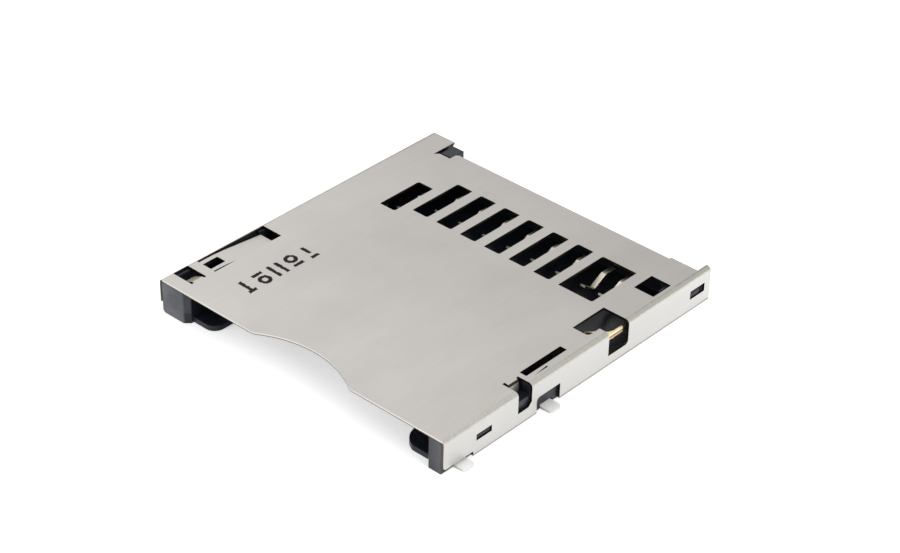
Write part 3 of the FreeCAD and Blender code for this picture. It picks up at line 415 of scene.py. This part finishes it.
def moulded_plastic(name, colour, dull, shiny):
    """Faces at the card mouth are painted a lighter grey in place of the light on them; on the right
    arm this painted light gives way to painted shade towards the left.
    """
    mouth_dark = (0.044, 0.047, 0.056)
    mouth_light = (0.092, 0.094, 0.104)
    mouth_back = -0.01495
    board_gap = 0.00002
    lead_in_back = -0.0145
    lead_in_floor = 0.0009
    lead_in_strength = 0.4
    shade_start = 0.0126
    shade_end = 0.0142
    material, tree, shader = new_material(name)
    place = add_node(tree, "ShaderNodeTexCoord").outputs["Object"]
    spot = split(tree, place)
    fine = noise(tree, place, scale=9000.0, detail=3.0)
    patches = noise(tree, place, scale=420.0, detail=4.0)
    mouth = times(tree, below(tree, spot["Y"], mouth_back), above(tree, spot["Z"], board_gap))
    lead_in = times(tree, below(tree, spot["Y"], lead_in_back),
                    above(tree, spot["Z"], lead_in_floor))
    mouth = larger(tree, mouth, times(tree, lead_in, lead_in_strength))
    dark = tuple(part * 0.6 for part in colour)
    body_colour = ramp(tree, patches, (0.3, dark), (0.7, colour))
    mouth_painted_light = ramp(tree, patches, (0.38, mouth_dark), (0.62, mouth_light))
    # Painted shade: the right arm's front darkens towards the left.
    right_shade = share(tree, spot["X"], shade_start, shade_end)
    left_part = below(tree, spot["X"], 0.0)
    mouth = times(tree, mouth, larger(tree, left_part, right_shade))
    tree.links.new(mix_colour(tree, mouth, body_colour, mouth_painted_light), shader.inputs["Base Color"])
    shader.inputs["Specular IOR Level"].default_value = 0.32
    tree.links.new(ramp(tree, patches, (0.3, dull), (0.7, shiny)), shader.inputs["Roughness"])
    rounded = add_node(tree, "ShaderNodeBevel", samples=6)
    rounded.inputs["Radius"].default_value = 0.00011
    bump(tree, shader, fine, strength=0.3, distance=0.00002, under=rounded.outputs[0])
    return material


housing_black = moulded_plastic("housing_plastic", (0.012, 0.014, 0.02), dull=0.36, shiny=0.24)
dress(housing_black, "housing")
slider_black = moulded_plastic("slider_plastic", (0.012, 0.0125, 0.015), dull=0.4, shiny=0.3)
dress(slider_black, "slider")


# Tail of the right rear latch bump: the bump runs on behind the wall past the block, so that it fills
# its window. It is of the housing's plastic and grows out of the block's rear face.

wall_inside = cover_high[0] - sheet
wall_gap = 0.00004
tail_near = 0.0136
tail_far = 0.01445
tail_floor = 0.0009
tail_top = 0.00195
tail_width = 0.0007
nose_inset = 0.00012
nose_length = 0.0002
bpy.ops.object.select_all(action="DESELECT")
bpy.ops.mesh.primitive_cube_add(
    size=1.0, location=(wall_inside - wall_gap - tail_width / 2, (tail_near + tail_far) / 2,
                        (tail_floor + tail_top) / 2),
    scale=(tail_width, tail_far - tail_near, tail_top - tail_floor))
tail = bpy.context.object
tail.name = "rear_latch_tail"
bpy.ops.object.transform_apply(location=True, rotation=True, scale=True)
bpy.ops.object.mode_set(mode="EDIT")
bpy.ops.mesh.select_all(action="DESELECT")
bpy.ops.object.mode_set(mode="OBJECT")
for face in tail.data.polygons:
    face.select = face.normal.y > 0.9
bpy.ops.object.mode_set(mode="EDIT")
bpy.ops.mesh.inset(thickness=nose_inset, depth=0.0)
bpy.ops.transform.translate(value=(0.0, nose_length, 0.0))
bpy.ops.object.mode_set(mode="OBJECT")
rounding = tail.modifiers.new("rounding", "BEVEL")
rounding.width = 0.00006
rounding.segments = 3
bpy.ops.object.modifier_apply(modifier=rounding.name)
bpy.ops.object.shade_smooth_by_angle(angle=math.radians(35))
tail.data.materials.append(housing_black)
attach(tail, "base")


# Contacts and switch blades: stamped copper alloy strip, nickel and gold plated. The plating is
# bright on the rolled faces, with streaks from rolling.

def plated_strip(name, light, dark, smooth, dull, metallic=1.0, edge=None, extra=None):
    """Rolled faces run from dark to light; an edge colour is for the sheared sides of the strip."""
    material, tree, shader = new_material(name)
    place, grain = place_grain(tree, streaks=1.0, clouds=0.6)
    colour = ramp(tree, grain.outputs["Tone"], (0.2, dark), (0.8, light))
    if edge:
        side_limit = 0.3
        facing = split(tree, place.outputs["Normal"])
        upright = below(tree, without_sign(tree, facing["Z"]), side_limit)
        colour = mix_colour(tree, upright, colour, edge)
    if extra:
        colour = extra(tree, split(tree, place.outputs["Object"]), colour)
    tree.links.new(colour, shader.inputs["Base Color"])
    tree.links.new(ramp(tree, grain.outputs["Tone"], (0.2, dull), (0.8, smooth)),
                   shader.inputs["Roughness"])
    shader.inputs["Metallic"].default_value = metallic
    bump(tree, shader, grain.outputs["Height"], strength=0.15, distance=0.00001)
    return material


def bare_tips(tree, spot, colour):
    """The cut tips of the contacts carry less plating than the rest, so they are darker."""
    bare_brown = (0.20, 0.17, 0.12)
    bare_length = 0.0004
    bare_strength = 0.7
    tip = below(tree, spot["Y"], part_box("contact_5")[0][1] + bare_length)
    return mix_colour(tree, times(tree, tip, bare_strength), colour, bare_brown)


def blade_painted_shade(tree, spot, colour):
    """Painted shade on the fixed blades: a dark painted shadow line along their middle, and a browner
    lower half in painted shade.
    """
    lower_shade_brown = (0.50, 0.33, 0.14)
    shadow_line_black = (0.03, 0.016, 0.008)
    blade_left = 0.0138
    shadow_line_height = 0.0022
    shadow_line_half = 0.00003
    lower_top = 0.00216
    lower_shade_strength = 0.7
    outer = above(tree, spot["X"], blade_left)
    lower = times(tree, outer, below(tree, spot["Z"], lower_top))
    colour = mix_colour(tree, times(tree, lower, lower_shade_strength), colour, lower_shade_brown)
    from_shadow_line = minus(tree, apart(tree, spot["Z"], shadow_line_height), shadow_line_half)
    shadow_line = fade(tree, from_shadow_line, shadow_line_half)
    return mix_colour(tree, times(tree, outer, shadow_line), colour, shadow_line_black)


contact_plate = plated_strip(
    "contact_plate", light=(0.84, 0.79, 0.68), dark=(0.76, 0.69, 0.54), smooth=0.28, dull=0.4,
    edge=(0.70, 0.52, 0.22), extra=bare_tips)
dress(contact_plate, *[name for name in nodes if name.startswith("contact_")])
gold = plated_strip(
    "gold_plate", light=(0.92, 0.82, 0.6), dark=(0.82, 0.64, 0.36), smooth=0.25, dull=0.36,
    extra=blade_painted_shade)
dress(gold, "write_protect_spring", "write_protect_contact", "card_detect_spring",
      "card_detect_contact")


# Solder legs: the same kind of strip, held in the housing, with flat tips that are soldered to the
# board. Their tin plate is bright and slightly frosted.

tin = plated_strip(
    "tin_plate", light=(0.98, 0.975, 0.96), dark=(0.93, 0.925, 0.91), smooth=0.45, dull=0.6,
    metallic=0.1, edge=(0.62, 0.6, 0.57))
dress(tin, *[name for name in nodes if name.startswith("solder_leg")])


# Follower rod and ejector spring: drawn spring wire. The coil is wound again here as a smooth round
# wire and stands where the plain coil does.

wire = plated_strip(
    "spring_wire", light=(0.62, 0.61, 0.59), dark=(0.5, 0.49, 0.47), smooth=0.25, dull=0.36)
dress(wire, "follower_rod")

coil_low, coil_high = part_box("eject_spring")
spring_mid_z = (coil_low[2] + coil_high[2]) / 2
spring_mid_x = (coil_low[0] + coil_high[0]) / 2
wire_radius = 0.000125
coil_radius = (coil_high[0] - coil_low[0]) / 2 - wire_radius
coil_length = coil_high[1] - coil_low[1]
turns = 8
steps_per_turn = 28
wire_sides = 14
bpy.ops.object.select_all(action="DESELECT")
bpy.ops.mesh.primitive_circle_add(
    vertices=wire_sides, radius=wire_radius, fill_type="NGON", location=(coil_radius, 0.0, 0.0),
    rotation=(math.pi / 2, 0.0, 0.0))
coil = bpy.context.object
coil.name = "ejector_coil"
bpy.ops.object.transform_apply(location=True, rotation=True, scale=True)
winding = coil.modifiers.new("winding", "SCREW")
winding.axis = "Z"
winding.iterations = turns
winding.screw_offset = (coil_length - wire_radius * 2) / turns
winding.steps = steps_per_turn
winding.render_steps = steps_per_turn
bpy.ops.object.modifier_apply(modifier=winding.name)
coil.rotation_euler = (-math.pi / 2, 0.0, 0.0)
coil.location = (spring_mid_x, coil_low[1] + wire_radius, spring_mid_z)
bpy.ops.object.transform_apply(location=True, rotation=True, scale=True)
bpy.ops.object.mode_set(mode="EDIT")
bpy.ops.mesh.select_all(action="SELECT")
bpy.ops.mesh.remove_doubles(threshold=0.000001)
bpy.ops.mesh.normals_make_consistent(inside=False)
bpy.ops.object.mode_set(mode="OBJECT")
bpy.ops.object.shade_smooth_by_angle(angle=math.radians(40))
coil.data.materials.append(wire)
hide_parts("eject_spring")
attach(coil, "base")
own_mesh(coil)


# Room: a plain pale floor that the socket stands on, and a white surround. The camera sees white,
# while the floor keeps a faint shadow, and reflections find it dark under the part. Three large soft
# lamps light the piece, and stay out of its reflections, so that no face of the steel burns out.

def seen_rays(tree, mirrored=1.0):
    """1 for rays that show the room itself: to the camera, in a reflection or through glass."""
    path = add_node(tree, "ShaderNodeLightPath").outputs
    reflected = larger(tree, path["Is Glossy Ray"], path["Is Transmission Ray"])
    return larger(tree, path["Is Camera Ray"], times(tree, reflected, mirrored))


white = (1.0, 1.0, 1.0, 1.0)
floor_drop = 0.00002
floor_glow = 0.45
shade_half = (0.0138, 0.0146)
shade_fade = 0.001
bpy.ops.object.select_all(action="DESELECT")
bpy.ops.mesh.primitive_plane_add(size=3.0, location=(0.0, 0.0, -floor_drop))
floor = bpy.context.object
floor.name = "floor"
floor_paint, tree, shader = new_material("floor_paint")
shader.inputs["Base Color"].default_value = (0.86, 0.86, 0.86, 1.0)
shader.inputs["Roughness"].default_value = 0.9
shader.inputs["Emission Color"].default_value = white
floor_spot = split(tree, add_node(tree, "ShaderNodeTexCoord").outputs["Object"])
from_part = bar_distance(tree, floor_spot["X"], floor_spot["Y"], (0.0, 0.0), shade_half)
open_floor = minus(tree, 1.0, fade(tree, plus(tree, from_part, shade_fade), shade_fade))
tree.links.new(times(tree, seen_rays(tree, open_floor), floor_glow),
               shader.inputs["Emission Strength"])
floor.data.materials.append(floor_paint)

surround_light = 0.65
world = bpy.data.worlds.new("surround")
bpy.context.scene.world = world
world.use_nodes = True
tree = world.node_tree
background = tree.nodes["Background"]
background.inputs["Color"].default_value = white
tree.links.new(plus(tree, times(tree, seen_rays(tree), 1.0 - surround_light), surround_light),
               background.inputs["Strength"])


def soft_lamp(name, place, width, height, watts):
    """A lamp aimed at the origin, which is on the floor under the middle of the cover."""
    lamp = bpy.data.lights.new(name, "AREA")
    lamp.shape = "RECTANGLE"
    lamp.size = width
    lamp.size_y = height
    lamp.energy = watts
    stand = bpy.data.objects.new(name, lamp)
    bpy.context.scene.collection.objects.link(stand)
    stand.location = place
    stand.rotation_euler = (-Vector(place)).to_track_quat("-Z", "Y").to_euler()
    stand.visible_glossy = False


soft_lamp("left_lamp", (-0.24, 0.05, 0.13), width=0.10, height=0.10, watts=0.05)
soft_lamp("right_lamp", (0.25, -0.02, 0.10), width=0.14, height=0.12, watts=0.5)
soft_lamp("front_lamp", (-0.06, -0.26, 0.10), width=0.16, height=0.10, watts=0.3)

camera = bpy.data.objects.new("camera", bpy.data.cameras.new("camera"))
bpy.context.scene.collection.objects.link(camera)
camera.data.sensor_width = 36.0
camera.data.lens = 98.04
camera.data.clip_start = 0.01
camera_place = (0.10236, -0.11371, 0.10587)
right = Vector((0.73835, 0.67414, 0.01961))
up = Vector((-0.38939, 0.40238, 0.82856))
back = Vector((0.55066, -0.61939, 0.55959))
camera_turn = Matrix((right, up, back)).transposed().to_4x4()
camera.matrix_world = Matrix.Translation(camera_place) @ camera_turn
bpy.context.scene.camera = camera
bpy.context.scene.view_settings.view_transform = "Standard"
